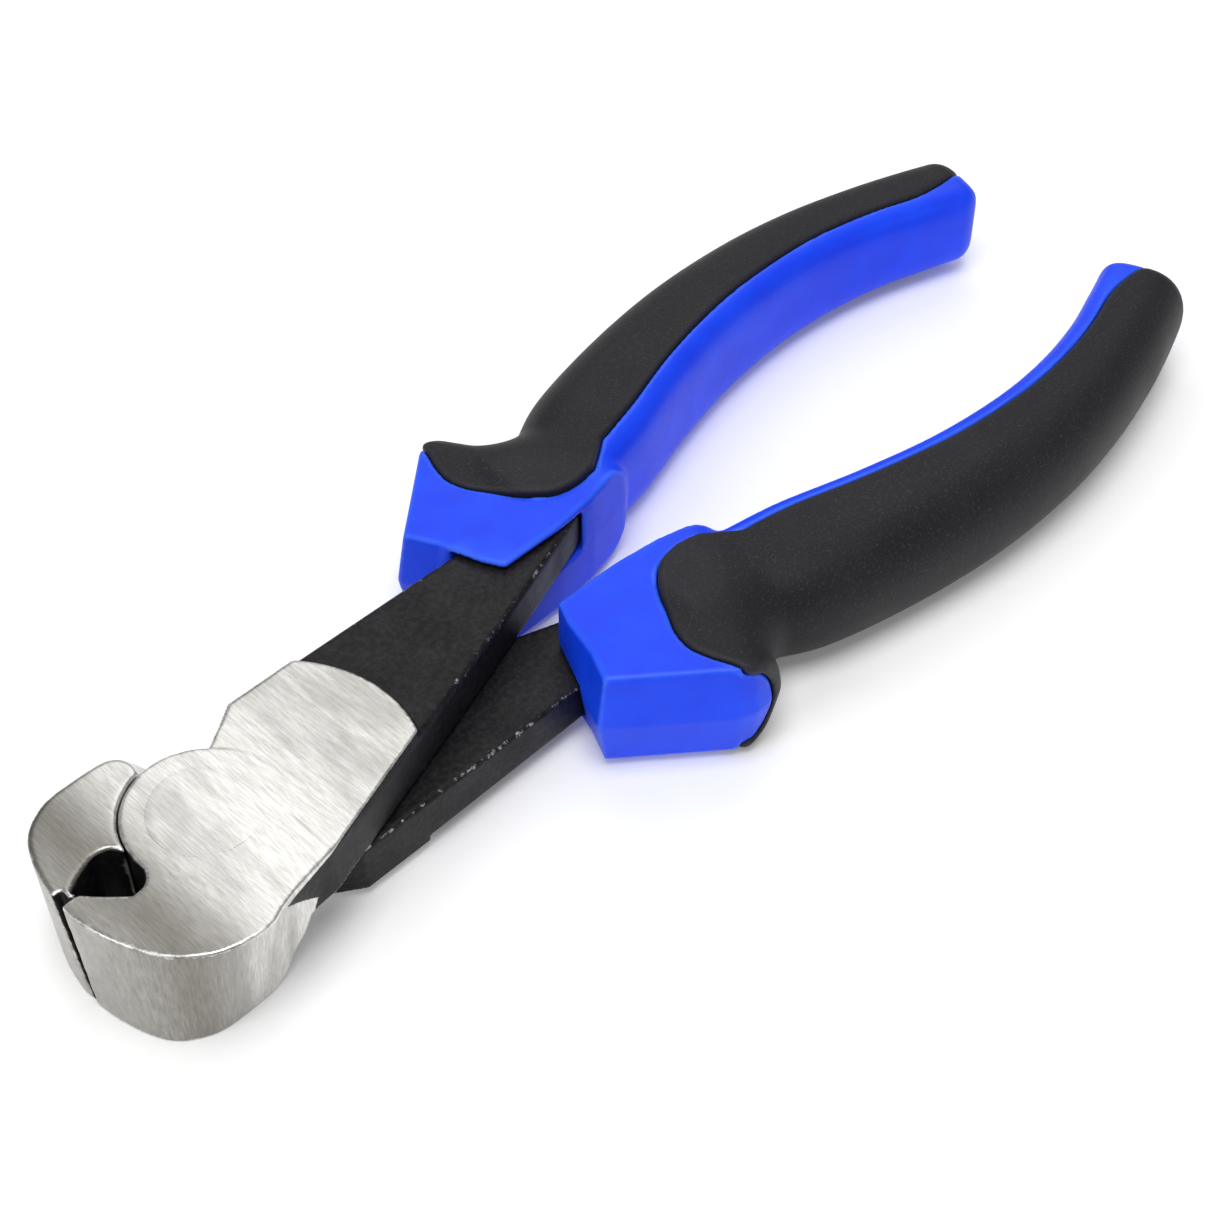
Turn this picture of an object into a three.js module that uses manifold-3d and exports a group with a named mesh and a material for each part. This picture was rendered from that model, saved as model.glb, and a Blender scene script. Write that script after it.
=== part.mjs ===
// End-cutting nippers: two crossed steel levers on one rivet, each with a two-material grip.
//
// Millimetres. +X runs from the rivet to the handles, +Z is up with the tool lying flat, and the
// origin is on the rivet's axis at its lower face. Both levers are one shape: the lower one is the
// upper one turned half a turn about the tool's long axis, so everything is drawn once, about the
// plane z = 0 between them, and the whole tool is lifted at the end.
import * as THREE from "three";
import { mergeVertices } from "three/addons/utils/BufferGeometryUtils.js";
import Module from "manifold-3d";

const wasm = await Module();
wasm.setup();

// ---- driving dimensions ----
const overallLength = 160; // cutting edge to handle end
const jawReach = 17; // rivet axis to cutting edge
const jawSide = 15.8; // rivet axis to the widest point of a jaw
const jointHalf = 6.6; // centre plane to the ground face round the joint
const faceRise = 1.1; // how far the jaws' end faces stand above that face
const forgeStep = 0.35; // how far the rough arm lies below it
const armThinning = 0.9; // how much thinner the arm is where it enters the grip
const armChamfer = 0.8;
const bossRadius = 8.7;
const heelAngle = 51; // degrees, where the arm's heel leaves the boss
const armSlope = 18; // degrees between the arm's inner edge and the tool's axis
const armInner = 13.7; // rivet axis to the line of that edge
const armOuter = 10.4; // rivet axis to the arm's outer edge, which runs along the tool
const heelX = 10.8; // the heel's corner
const rearTurn = 21; // degrees by which a jaw's back face is turned from square
const rearTop = -2.5; // rivet axis to that face at the centre plane
const rearLow = -5.0; // and at the jaw's end face
const hollowHalf = 3.2; // half width of the hollow behind the cutting edges
const lipDepth = 1.5; // cutting edge to the hollow
const grooveRadius = 1.0; // the wedge left between the two ground edges, at the upper face
const grooveLean = 1.5; // how far that wedge stands to one side there
const edgeLean = 0.08; // slope of the plane in which the cutting edges meet
const groundRadius = 16.6; // the ground face ends in an arc of this radius ...
const groundReach = 23.6; // ... this far behind the rivet
const rivetShank = 3.8;
const rivetHead = 5.0;
const rivetSink = 1.8; // depth of the countersink
const collarX = 44.6; // the collar's leading corner
const collarInner = 4.2; // tool axis to that corner
const collarDraft = 0.085; // share by which the collar narrows from its middle to its faces
const collarLip = 1.1; // collar's wall above the arm
const guardX = 51.5; // the finger guard's peak
const guardOuter = 26.6;
const collarBack = 61.6; // rivet axis to the collar's rounded back end
const collarTurn = 30.3; // degrees by which that end is turned from square
const collarRound = 7.3; // its radius
const guardRim = 1.7; // rubber behind it
const neckX = 64; // where the grip proper begins
const gripCrown = 1.0; // how far the grip stands above the collar
const blueBand = 2.6; // width of the plastic seen from above, beside the rubber
const rubberSide = 1.8; // rubber thickness on the outer side
const rubberTop = 1.2; // rubber thickness above and below
const tangHalf = 2.8; // half width of the tang
const tangThick = 3.0; // half thickness of the tang
const tangShare = 0.55; // how far the tang reaches along the grip

// ---- clearances ----
const lapGap = 0.2; // between the lapped faces
const bossGap = 0.2; // round the boss
const edgeGap = 0.1; // between the closed cutting edges
const rivetGap = 0.1;
const fitGap = 0.3; // between a grip and what it fits on

// ---- sizes that follow ----
const rad = THREE.MathUtils.degToRad;
const handleEnd = overallLength - jawReach;
const jawHalf = jointHalf + faceRise;
const armTop = jointHalf - forgeStep;
const armEnd = collarX + 11;
const armTopAt = (x) => armTop - (armThinning * Math.max(x - heelX, 0)) / (armEnd - heelX);
const jawBack = 5; // a jaw is drawn this far past the rivet, and its back face then cut
const collarHalf = armTopAt(collarX) + collarLip;
const gripHalf = collarHalf + gripCrown;
const armInnerY = (x) => (x * Math.sin(rad(armSlope)) - armInner) / Math.cos(rad(armSlope));
const far = 2 * overallLength; // a cutting block's size

// A jaw's outline as shares of its reach and its side, at its full end face and at its far one.
const jawCrest = [
  [-1.005, -0.1], [-0.97, -0.29], [-0.9, -0.51], [-0.8, -0.73],
  [-0.61, -0.91], [-0.42, -0.985], [-0.23, -1.0], [-0.1, -0.97],
];
const jawFoot = [
  [-1.0, -0.1], [-0.96, -0.34], [-0.89, -0.57], [-0.79, -0.71],
  [-0.62, -0.8], [-0.42, -0.82], [-0.23, -0.79], [-0.1, -0.72],
];

// A grip's stations: share of its length, centreline's distance from the tool's axis,
// half width, half height as a share of the largest.
const gripStations = [
  [-0.12, 13.4, 6.2, 0.84],
  [0.0, 14.6, 7.1, 0.9],
  [0.1, 17.2, 8.1, 0.98],
  [0.25, 20.4, 7.7, 1.0],
  [0.4, 22.5, 7.2, 0.97],
  [0.55, 23.1, 6.7, 0.93],
  [0.68, 22.3, 6.3, 0.9],
  [0.8, 20.4, 6.1, 0.86],
  [0.9, 18.0, 6.1, 0.83],
  [0.96, 16.4, 5.9, 0.78],
  [0.988, 15.7, 4.9, 0.66],
  [1.0, 15.4, 3.0, 0.42],
];

// ---- solids ----
function solid(geometry) {
  const g = geometry.index ? geometry.toNonIndexed() : geometry.clone();
  g.deleteAttribute("normal");
  g.deleteAttribute("uv");
  const merged = mergeVertices(g, 1e-4);
  const vertProperties = merged.attributes.position.array;
  const triVerts = new Uint32Array(merged.index.array);
  return new wasm.Manifold(new wasm.Mesh({ numProp: 3, vertProperties, triVerts }));
}

function meshOf(manifold) {
  const m = manifold.getMesh();
  const g = new THREE.BufferGeometry();
  g.setAttribute("position", new THREE.BufferAttribute(new Float32Array(m.vertProperties), 3));
  g.setIndex(new THREE.BufferAttribute(new Uint32Array(m.triVerts), 1));
  return g;
}

// A plan outline carried from one height to another.
function plate(shape, low, high, curveSegments = 12) {
  const geometry = new THREE.ExtrudeGeometry(shape, {
    depth: high - low,
    bevelEnabled: false,
    curveSegments,
  });
  return geometry.translate(0, 0, low);
}

function outline(points) {
  return new THREE.Shape(points.map(([x, y]) => new THREE.Vector2(x, y)));
}

function disc(radius, low, high, x = 0, y = 0, segments = 72) {
  const shape = new THREE.Shape().absarc(x, y, radius, 0, 2 * Math.PI, false);
  return plate(shape, low, high, segments);
}

// The same with its long edges cut back by a chamfer.
function chamferedPlate(shape, low, high, cut) {
  const geometry = new THREE.ExtrudeGeometry(shape, {
    depth: high - low - 2 * cut,
    steps: 2,
    bevelSize: cut,
    bevelThickness: cut,
    bevelOffset: -cut,
    bevelSegments: 1,
    curveSegments: 12,
  });
  return geometry.translate(0, 0, low + cut);
}

// A profile in the X-Z plane carried across the tool.
function prismAcross(shape) {
  return plate(shape, -far / 2, far / 2, 16).rotateX(Math.PI / 2);
}

// A closed skin through rings of equal length.
function loft(rings) {
  const count = rings[0].length;
  const index = [];
  for (let r = 0; r + 1 < rings.length; r++) {
    for (let i = 0; i < count; i++) {
      const a = r * count + i;
      const b = r * count + ((i + 1) % count);
      index.push(a, b, a + count, b, b + count, a + count);
    }
  }
  const end = (rings.length - 1) * count;
  const first = rings[0].map(([x, y]) => new THREE.Vector2(x, y));
  const flat = rings[0].every((p) => p[2] === rings[0][0][2]);
  const turned = THREE.ShapeUtils.area(first) < 0;
  const cap = THREE.ShapeUtils.triangulateShape(first, [])
    .map(([a, b, c]) => (turned ? [a, c, b] : [a, b, c]));
  for (let i = 1; i + 1 < count && !flat; i++) {
    index.push(0, i + 1, i, end, end + i, end + i + 1);
  }
  for (const [a, b, c] of flat ? cap : []) {
    index.push(a, c, b, end + a, end + b, end + c);
  }
  const g = new THREE.BufferGeometry();
  g.setAttribute("position", new THREE.Float32BufferAttribute(rings.flat(2), 3));
  g.setIndex(index);
  const made = solid(g);
  return made.volume() > 0 ? made : loft(rings.map((ring) => [...ring].reverse()));
}

// ---- the rivet ----
function rivetProfile(grow, end) {
  const head = rivetHead + grow;
  const shank = rivetShank + grow;
  const sink = jawHalf - rivetSink;
  return [
    [0, -end],
    [head, -end],
    [head, -jawHalf],
    [shank, -sink],
    [shank, sink],
    [head, jawHalf],
    [head, end],
    [0, end],
  ].map(([r, y]) => new THREE.Vector2(r, y));
}

function rivetSolid(grow = 0, end = jawHalf) {
  const points = rivetProfile(grow, end);
  const kept = grow ? points : points.filter((p, i) => i !== 2 && i !== 5);
  return new THREE.LatheGeometry(kept, 48).rotateX(Math.PI / 2);
}

// ---- a lever ----
// The half of the head on the jaw's side of the tool, from the cutting edge to the joint.
function jawBlock() {
  const ring = (shares, z) => {
    const edge = edgeLean * z - edgeGap / 2;
    const points = shares.map(([x, y]) => new THREE.Vector2(x * jawReach, y * jawSide));
    const side = new THREE.SplineCurve([new THREE.Vector2(-jawReach, edge), ...points]);
    const wall = side.getSpacedPoints(20).map((p) => [p.x, p.y, z]);
    const last = (z > 0 ? 1 : jawFoot.at(-1)[1] / jawCrest.at(-1)[1]) * armInnerY(0);
    return [...wall, [0, last, z], [jawBack, last, z], [jawBack, edge, z]];
  };
  return loft([ring(jawFoot, -jawHalf), ring(jawCrest, jawHalf)]);
}

// The wedge seen between the closed cutting edges; it closes up towards the lower face.
function edgeWedge(sign) {
  const ring = (y, r, z) => [
    [-jawReach - r, y, z], [-jawReach, y - r, z], [-jawReach + r, y, z], [-jawReach, y + r, z],
  ].map((p) => [p[0], sign * p[1], sign * p[2]]);
  return loft([ring(0, 0.05, -jawHalf - 0.1), ring(grooveLean, grooveRadius, jawHalf + 0.1)]);
}

// The open space behind the cutting edges, pointed at the edge and closed by the boss.
function hollowPlan() {
  const front = -(jawReach - lipDepth);
  const wide = front + 4.2;
  const back = -bossRadius + 0.4;
  const shape = new THREE.Shape();
  shape.moveTo(front, 0);
  shape.quadraticCurveTo(front + 1.2, hollowHalf, wide, hollowHalf);
  shape.quadraticCurveTo(back, hollowHalf, back, 0.5 * hollowHalf);
  shape.lineTo(back, -0.5 * hollowHalf);
  shape.quadraticCurveTo(back, -hollowHalf, wide, -hollowHalf);
  shape.quadraticCurveTo(front + 1.2, -hollowHalf, front, 0);
  return shape;
}

function armPlan(grow = 0, start = 0) {
  const end = armEnd + grow;
  return outline([
    [start, armInnerY(start) - grow],
    [end, armInnerY(end) - grow],
    [end, armOuter + grow],
    [Math.max(start, heelX), armOuter + grow],
  ].concat(start ? [] : [
    [bossRadius * Math.cos(rad(heelAngle)), bossRadius * Math.sin(rad(heelAngle))],
    [0, 0],
  ]));
}

// The arm's thickness seen from the side: from the lapped face up, thinner towards the grip.
function armProfile(grow = 0) {
  const low = lapGap / 2 - grow;
  return prismAcross(outline([
    [-bossRadius, low], [far, low], [far, armTopAt(armEnd) + grow],
    [armEnd, armTopAt(armEnd) + grow], [heelX, armTop + grow], [-bossRadius, armTop + grow],
  ]));
}

function gripCurve() {
  return new THREE.CatmullRomCurve3(
    gripStations.map(([share, y]) => new THREE.Vector3(gripX(share), y, 0)),
  );
}

function gripX(share) {
  return neckX + share * (handleEnd - neckX);
}

// The tang starts inside the arm and then follows the middle of the grip.
function tangSolid(grow = 0) {
  const along = gripStations.filter(([share]) => share >= 0 && share < tangShare);
  const middle = new THREE.CatmullRomCurve3([
    new THREE.Vector3(armEnd - 8, 0.62 * armOuter, 0),
    ...along.map(([share, y]) => new THREE.Vector3(gripX(share), y, 0)),
  ]);
  const points = middle.getSpacedPoints(14);
  const last = points.length - 1;
  const side = (sign) => points.map((p, i) => {
    const t = middle.getTangentAt(i / last);
    const half = sign * (tangHalf + grow);
    const on = grow * ((i === last) - (i === 0));
    return [p.x - t.y * half + t.x * on, p.y + t.x * half + t.y * on];
  });
  const shape = outline([...side(-1), ...side(1).reverse()]);
  return plate(shape, -tangThick - grow, tangThick + grow);
}

// sign is 1 for the upper lever and -1 for the lower, whose own frame is turned over.
function leverSolid(sign) {
  const low = lapGap / 2;
  const rear = prismAcross(outline([
    [rearTop, -low],
    [rearLow, -jawHalf - 0.01],
    [rearLow, -far],
    [far, -far],
    [far, -low],
  ])).rotateZ(rad(rearTurn));
  const groundX = groundReach - groundRadius;
  const head = solid(disc(bossRadius, low, jointHalf)).add(solid(plate(armPlan(), low, jointHalf)));
  const ground = head.intersect(solid(disc(groundRadius, low, jointHalf, groundX, -0.4, 64)));
  const raisedFace = new THREE.CylinderGeometry(1, 1 + faceRise / 8, faceRise, 64)
    .rotateX(Math.PI / 2)
    .scale(0.74 * jawReach, 1.3 * jawSide, 1)
    .translate(-0.49 * jawReach, 0, jointHalf + faceRise / 2);
  const above = solid(new THREE.BoxGeometry(far, far, 4).translate(0, 0, jointHalf + 2));
  const arm = solid(chamferedPlate(armPlan(0, heelX - 3), low, armTop, armChamfer));
  return jawBlock()
    .subtract(solid(plate(hollowPlan(), -jawHalf - 1, jawHalf + 1)))
    .subtract(solid(disc(bossRadius + bossGap, -jawHalf - 1, low)))
    .subtract(solid(rear))
    .add(ground)
    .add(solid(disc(bossRadius, low, jawHalf)))
    .subtract(above.subtract(solid(raisedFace)))
    .add(arm.intersect(solid(armProfile())))
    .add(solid(tangSolid()))
    .subtract(edgeWedge(sign))
    .subtract(solid(rivetSolid(rivetGap, jawHalf + 1)));
}

// ---- a grip ----
// One ring of the grip's section: rounded on the outer side, flat on the inner.
function gripRing(middle, tangent, half, high, count) {
  const ring = [];
  for (let i = 0; i < count; i++) {
    const a = (2 * Math.PI * i) / count;
    const c = Math.cos(a);
    const s = Math.sin(a);
    const power = c > 0 ? 2 / 2.25 : 2 / 4.5;
    const out = Math.sign(c) * Math.abs(c) ** power * (c > 0 ? half[0] : half[1]);
    const up = Math.sign(s) * Math.abs(s) ** power * high;
    ring.push([middle.x - tangent.y * out, middle.y + tangent.x * out, up]);
  }
  return ring;
}

// The grip's body, taken in by side on its outer side, by inner on its inner side and by high.
function gripBody(side = 0, inner = 0, high = 0) {
  const curve = gripCurve();
  const last = gripStations.length - 1;
  const rings = gripStations.map(([share, y, half, tall], i) => {
    const tangent = curve.getTangent(i / last);
    const middle = new THREE.Vector3(gripX(share) - (share > 0.98 ? side : 0), y, 0);
    const width = [Math.max(half - side, 0.8), Math.max(half - inner, 0.8)];
    return gripRing(middle, tangent, width, Math.max(gripHalf * tall - high, 0.8), 20);
  });
  return loft(rings);
}

// The collar with its finger guard, taken in from its outer side by side.
function collarPlan(side = 0) {
  const outer = guardOuter - side;
  const shape = new THREE.Shape();
  shape.moveTo(collarX + side, collarInner);
  shape.lineTo(collarX - 6 + side, 0.61 * guardOuter);
  shape.lineTo(guardX - 0.5 + 0.4 * side, outer - 0.3);
  shape.quadraticCurveTo(guardX + 1.2, outer + 0.9, guardX + 3.5, outer + 0.5);
  shape.lineTo(guardX + 9 - side, outer - 1.5);
  shape.lineTo(neckX, guardOuter - 6);
  shape.lineTo(neckX + 8, collarInner + 5);
  shape.lineTo(neckX + 3, collarInner + 1.8);
  shape.quadraticCurveTo(neckX - 8, collarInner + 0.2, collarX + side, collarInner);
  return shape;
}

// Narrows a collar shape towards its two faces, about the middle of its plan.
function drafted(geometry) {
  const p = geometry.attributes.position;
  const [x, y] = [collarX + 8, guardOuter - 14];
  for (let i = 0; i < p.count; i++) {
    const share = 1 - (collarDraft * Math.abs(p.getZ(i))) / collarHalf;
    p.setXY(i, x + (p.getX(i) - x) * share, y + (p.getY(i) - y) * share);
  }
  return geometry;
}

// Everything in front of the collar's back end, which is a half round seen from the side.
function beforeBack(reach) {
  const shape = new THREE.Shape();
  shape.moveTo(-far, -collarRound);
  shape.lineTo(0, -collarRound);
  shape.absarc(0, 0, collarRound, -Math.PI / 2, Math.PI / 2, false);
  shape.lineTo(-far, collarRound);
  const middle = reach - collarRound;
  const turn = rad(collarTurn);
  return solid(prismAcross(shape).rotateZ(turn)
    .translate(middle * Math.cos(turn), middle * Math.sin(turn), 0));
}

// Where rubber covers the plastic, seen from above. inset keeps the two apart.
function rubberPlan(inset) {
  const curve = gripCurve();
  const last = gripStations.length - 1;
  const band = (offset) => gripStations.map(([share, y, half], i) => {
    const t = curve.getTangent(i / last);
    const out = offset(half);
    return [gripX(share) - t.y * out, y + t.x * out];
  });
  const edge = band((half) => blueBand - half + inset).filter(([x]) => x > neckX + 2);
  const outer = band((half) => half + 6).filter(([x]) => x > neckX + 2).reverse();
  const lobe = [
    [0.8, 6], [0.6, -2.2], [-0.6, -4.6], [-1.2, -7.4], [-0.6, -10], [1.9, -14], [4.1, -17.2],
    [5.2, -18.3], [7, -18.9], [11, -18.7],
  ].map(([x, y]) => [guardX + x + inset, guardOuter + y + (y < -12 ? inset : 0)]);
  return outline([...lobe, ...edge, [handleEnd + 8, edge.at(-1)[1] - 2], ...outer]);
}

function gripPocket() {
  const arm = solid(plate(armPlan(fitGap, collarX - 12), -jawHalf, jawHalf));
  return arm.intersect(solid(armProfile(fitGap))).add(solid(tangSolid(fitGap)));
}

// The collar's outer wall stays bare plastic as far as its rounded back end.
function bareWall(grow) {
  const wall = outline([
    [collarX - 12, 0.5 * guardOuter],
    [guardX - 0.5, guardOuter - rubberSide - grow],
    [neckX, guardOuter - rubberSide - grow],
    [neckX, 2 * guardOuter],
    [collarX - 12, 2 * guardOuter],
  ]);
  const high = collarHalf - rubberTop + grow;
  return solid(plate(wall, -high, high)).intersect(beforeBack(collarBack + grow));
}

function gripSolids() {
  const collar = solid(drafted(chamferedPlate(collarPlan(), -collarHalf, collarHalf, 0.5)));
  const full = gripBody().add(collar.intersect(beforeBack(collarBack + guardRim)));
  const coreOf = (gap) => {
    const low = collarHalf - rubberTop + gap;
    const middle = chamferedPlate(collarPlan(rubberSide - gap), -low, low, 0.5);
    return gripBody(rubberSide - gap, 0.4 - gap, rubberTop - gap)
      .add(solid(drafted(middle))
        .intersect(beforeBack(collarBack + gap)));
  };
  const covered = (inset) => solid(plate(rubberPlan(inset), -far, far)).subtract(bareWall(inset));
  const plastic = full.subtract(covered(0)).add(coreOf(0)).subtract(gripPocket());
  const rubber = full.intersect(covered(fitGap)).subtract(coreOf(fitGap));
  return { plastic, rubber };
}

// ---- materials ----
const finish = (color, roughness, metalness) =>
  new THREE.MeshStandardMaterial({ color, roughness, metalness });
const materials = {
  steel: finish(0x6c6a68, 0.42, 1),
  rivet: finish(0xb4b2ae, 0.35, 1),
  plastic: finish(0x1f4fe8, 0.45, 0),
  rubber: finish(0x26262a, 0.75, 0),
};

// ---- assembly ----
function named(name, manifold, material) {
  const mesh = new THREE.Mesh(meshOf(manifold), material);
  mesh.name = name;
  return mesh;
}

// The largest piece, so that a sliver left by a cut is never a second body.
function mainBody(manifold) {
  const bodies = manifold.decompose();
  return bodies.reduce((a, b) => (b.volume() > a.volume() ? b : a));
}

const nippers = new THREE.Group();
nippers.position.z = jawHalf;
const grip = gripSolids();
for (const [word, sign] of [["upper", 1], ["lower", -1]]) {
  const half = new THREE.Group();
  half.rotation.x = sign > 0 ? 0 : Math.PI;
  half.add(named(`${word}_lever`, leverSolid(sign), materials.steel));
  half.add(named(`${word}_grip_core`, mainBody(grip.plastic), materials.plastic));
  half.add(named(`${word}_grip_cover`, mainBody(grip.rubber), materials.rubber));
  nippers.add(half);
}
const rivet = new THREE.Mesh(rivetSolid(), materials.rivet);
rivet.name = "pivot_rivet";
nippers.add(rivet);

export default nippers;
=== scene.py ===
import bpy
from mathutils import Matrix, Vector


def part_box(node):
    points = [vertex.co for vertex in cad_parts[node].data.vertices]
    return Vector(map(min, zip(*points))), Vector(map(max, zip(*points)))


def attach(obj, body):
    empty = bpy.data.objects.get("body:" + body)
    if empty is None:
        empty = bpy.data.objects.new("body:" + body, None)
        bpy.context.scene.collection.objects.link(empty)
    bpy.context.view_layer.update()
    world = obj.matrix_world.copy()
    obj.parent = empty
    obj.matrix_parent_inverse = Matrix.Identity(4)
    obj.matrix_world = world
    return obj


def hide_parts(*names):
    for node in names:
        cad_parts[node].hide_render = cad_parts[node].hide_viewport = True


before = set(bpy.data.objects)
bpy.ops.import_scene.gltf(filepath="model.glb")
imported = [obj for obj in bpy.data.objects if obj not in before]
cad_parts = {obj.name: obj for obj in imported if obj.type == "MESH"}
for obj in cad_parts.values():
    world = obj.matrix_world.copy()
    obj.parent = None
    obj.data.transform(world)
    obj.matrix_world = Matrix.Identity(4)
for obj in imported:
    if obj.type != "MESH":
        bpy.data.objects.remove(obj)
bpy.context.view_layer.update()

# %% [markdown]
# # End-cutting nippers
# Two drop-forged steel levers cross at one rivet. Their jaws meet end-on in a straight cutting edge,
# and each lever's arm runs into a grip moulded twice: first a hard blue core, then soft black rubber
# over its outer side. The CAD model gives the frame, the sizes and the joint. This script makes the
# surfaces that are seen, and every piece keeps its place from that frame.

# %% Tools, units and sizes taken from the frame
import functools
import math

import bpy
import numpy as np
import openvdb
from mathutils import Matrix, Vector

MM = 0.001


def box_mm(node):
    low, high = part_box(node)
    return np.array(low) / MM, np.array(high) / MM


rivet_low, rivet_high = box_mm("pivot_rivet")
lever_low, _ = box_mm("upper_lever")
_, core_high = box_mm("upper_grip_core")
middle_z = (rivet_low[2] + rivet_high[2]) / 2
jaw_half = rivet_high[2] - middle_z
reach = -lever_low[0]
side = -lever_low[1]
handle_end = core_high[0] + 0.1
print(f"half thickness {jaw_half:.2f}, reach {reach:.2f}, side {side:.2f} mm")
print(f"handle end {handle_end:.2f} mm")

# %% [markdown]
# ## How the shapes are made
# Forged and moulded parts have no sharp edges: one face runs into the next through a small radius,
# and a boss blends into an arm. A mesh built face by face would need each of those radii drawn. Here
# a solid is a number at every point of space instead: how far that point is from the surface, less
# than zero inside. Two solids are then joined or cut with one line of arithmetic on whole arrays,
# and the same line can round the edge between them. OpenVDB finds the surface where the number is
# zero and covers it with small squares.

# %% Arithmetic on distances
def cut(a, b, r=0.0):
    """What is inside both a and b: the larger distance, or in the corner nearer than r to both faces,
    the distance from an arc of radius r."""
    corner = np.hypot(np.maximum(a + r, 0), np.maximum(b + r, 0))
    return np.minimum(-r, np.maximum(a, b)) + corner


def join(a, b, r=0.0):
    """What is inside a or b: the smaller distance, with a fillet of radius r where they meet."""
    corner = np.hypot(np.maximum(r - a, 0), np.maximum(r - b, 0))
    return np.maximum(r, np.minimum(a, b)) - corner


def evened(values, step):
    """The same surface with even spacing: each value divided by how fast it changes there."""
    slopes = np.gradient(values, step)
    steepness = np.sqrt(sum(s * s for s in slopes))
    return values / np.maximum(steepness, 0.05)


def space(low, high, step):
    """Open arrays of x, y and z that cover a box, in millimetres."""
    axes = [np.arange(a, b + step, step, dtype=np.float32) for a, b in zip(low, high)]
    return np.meshgrid(*axes, indexing="ij", sparse=True)


# %% Outlines
def smooth_line(points, steps=8):
    """A line through points. Between two of them it is the cubic whose slope at each point is half
    the way from the point before to the point after."""
    points = np.asarray(points, float)
    p = np.vstack([2 * points[0] - points[1], points, 2 * points[-1] - points[-2]])
    t = np.linspace(0, 1, steps, endpoint=False)[None, :, None]
    a, b, c, d = (p[i:len(p) - 3 + i, None] for i in range(4))
    line = 2 * b + (c - a) * t + (2 * a - 5 * b + 4 * c - d) * t**2 + (3 * b - a - 3 * c + d) * t**3
    return np.vstack([line.reshape(-1, p.shape[1]) / 2, points[-1:]])


def rounded(points, r, steps=5):
    """A closed outline whose corners are replaced by the parabola that starts and ends r from each."""
    p = np.asarray(points, float)
    back = np.roll(p, 1, axis=0) - p
    ahead = np.roll(p, -1, axis=0) - p
    first = p + r * back / np.linalg.norm(back, axis=1, keepdims=True)
    last = p + r * ahead / np.linalg.norm(ahead, axis=1, keepdims=True)
    t = np.linspace(0, 1, steps)[None, :, None]
    curve = (1 - t)**2 * first[:, None] + 2 * t * (1 - t) * p[:, None] + t**2 * last[:, None]
    return curve.reshape(-1, 2)


def outline_distance(x, y, points):
    """Distance from a closed outline in plan: the least distance from any of its stretches, its sign
    turned for each stretch that a line towards +X crosses."""
    p = np.asarray(points, np.float32)
    least = np.full(np.broadcast(x, y).shape, np.inf, np.float32)
    sign = np.ones_like(least)
    for (ax, ay), (bx, by) in zip(p, np.roll(p, -1, axis=0)):
        ex, ey = bx - ax, by - ay
        share = np.clip(((x - ax) * ex + (y - ay) * ey) / max(ex * ex + ey * ey, 1e-9), 0, 1)
        least = np.minimum(least, (x - ax - ex * share)**2 + (y - ay - ey * share)**2)
        passes = (y >= ay) != (y >= by)
        crosses = passes & (x < ax + ex * (y - ay) / (ey if ey else 1))
        sign = np.where(crosses, -sign, sign)
    return sign * np.sqrt(least)


# %% From distances to a mesh
CELL = 0.26  # mm; a quarter of a millimetre shows an edge radius of 0.3
GRIP_CELL = 1.15 * CELL  # a grip is rounder, and this keeps each of its pieces under 200,000 triangles
MARGIN = 1.1  # mm of empty space round a lever, and above and below a grip


def at_points(values, low, step, points):
    """Values read between the cells: the mean of the eight around a point, weighted by nearness."""
    index = np.clip((points - low) / step, 0, np.array(values.shape) - 1.001)
    base = index.astype(int)
    part = index - base
    total = 0
    for corner in np.ndindex(2, 2, 2):
        weight = np.prod(np.where(corner, part, 1 - part), axis=1)
        total = total + weight * values[tuple((base + corner).T)]
    return total


def edge_sharpness(values, low, step, points, reach_mm=0.5):
    """How sharply the surface bends: the mean distance at six points round it, less its own. It is
    above zero on an outside edge and below zero in a groove."""
    total = -6 * at_points(values, low, step, points)
    for axis in np.vstack([np.eye(3), -np.eye(3)]):
        total = total + at_points(values, low, step, points + reach_mm * axis)
    return total / reach_mm


def skin(name, values, low, step, turned=False, **marks):
    """A mesh object of the surface where values are zero, with its place in the mesh. marks are
    functions of a point, worked out at each vertex and kept as attributes. turned gives the other half
    of the tool, which is the same shape turned half round the long axis."""
    grid = openvdb.FloatGrid(float(step))
    grid.copyFromArray(np.ascontiguousarray(values, np.float32))
    cells, quads = grid.convertToQuads(0.0)
    points = cells.astype(float) * step + low
    quads = quads.astype(np.int32)
    a, b, c = (points[quads[:, i]] for i in range(3))
    if np.einsum("ij,ij->i", np.cross(b - a, c - a), a).sum() < 0:
        quads = quads[:, ::-1]
    kept = {key: mark(points) for key, mark in marks.items()}
    kept["edge"] = edge_sharpness(values, low, step, points)
    if turned:
        points = points * (1, -1, -1)
    return mesh_object(name, points + (0, 0, middle_z), quads, kept)


def mesh_object(name, points, faces, marks):
    """Writes whole arrays into a new mesh and shades it smooth."""
    mesh = bpy.data.meshes.new(name)
    mesh.vertices.add(len(points))
    mesh.vertices.foreach_set("co", (points * MM).astype(np.float32).ravel())
    mesh.loops.add(faces.size)
    mesh.loops.foreach_set("vertex_index", np.ascontiguousarray(faces).ravel())
    mesh.polygons.add(len(faces))
    mesh.polygons.foreach_set("loop_start", np.arange(0, faces.size, faces.shape[1], dtype=np.int32))
    mesh.update(calc_edges=True)
    mesh.validate()
    mesh.shade_smooth()
    for key, values in marks.items():
        mesh.attributes.new(key, "FLOAT", "POINT").data.foreach_set("value", values.astype(np.float32))
    made = bpy.data.objects.new(name, mesh)
    bpy.context.scene.collection.objects.link(made)
    print(f"{name}: {len(points)} points, {len(faces)} faces")
    return made


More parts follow.
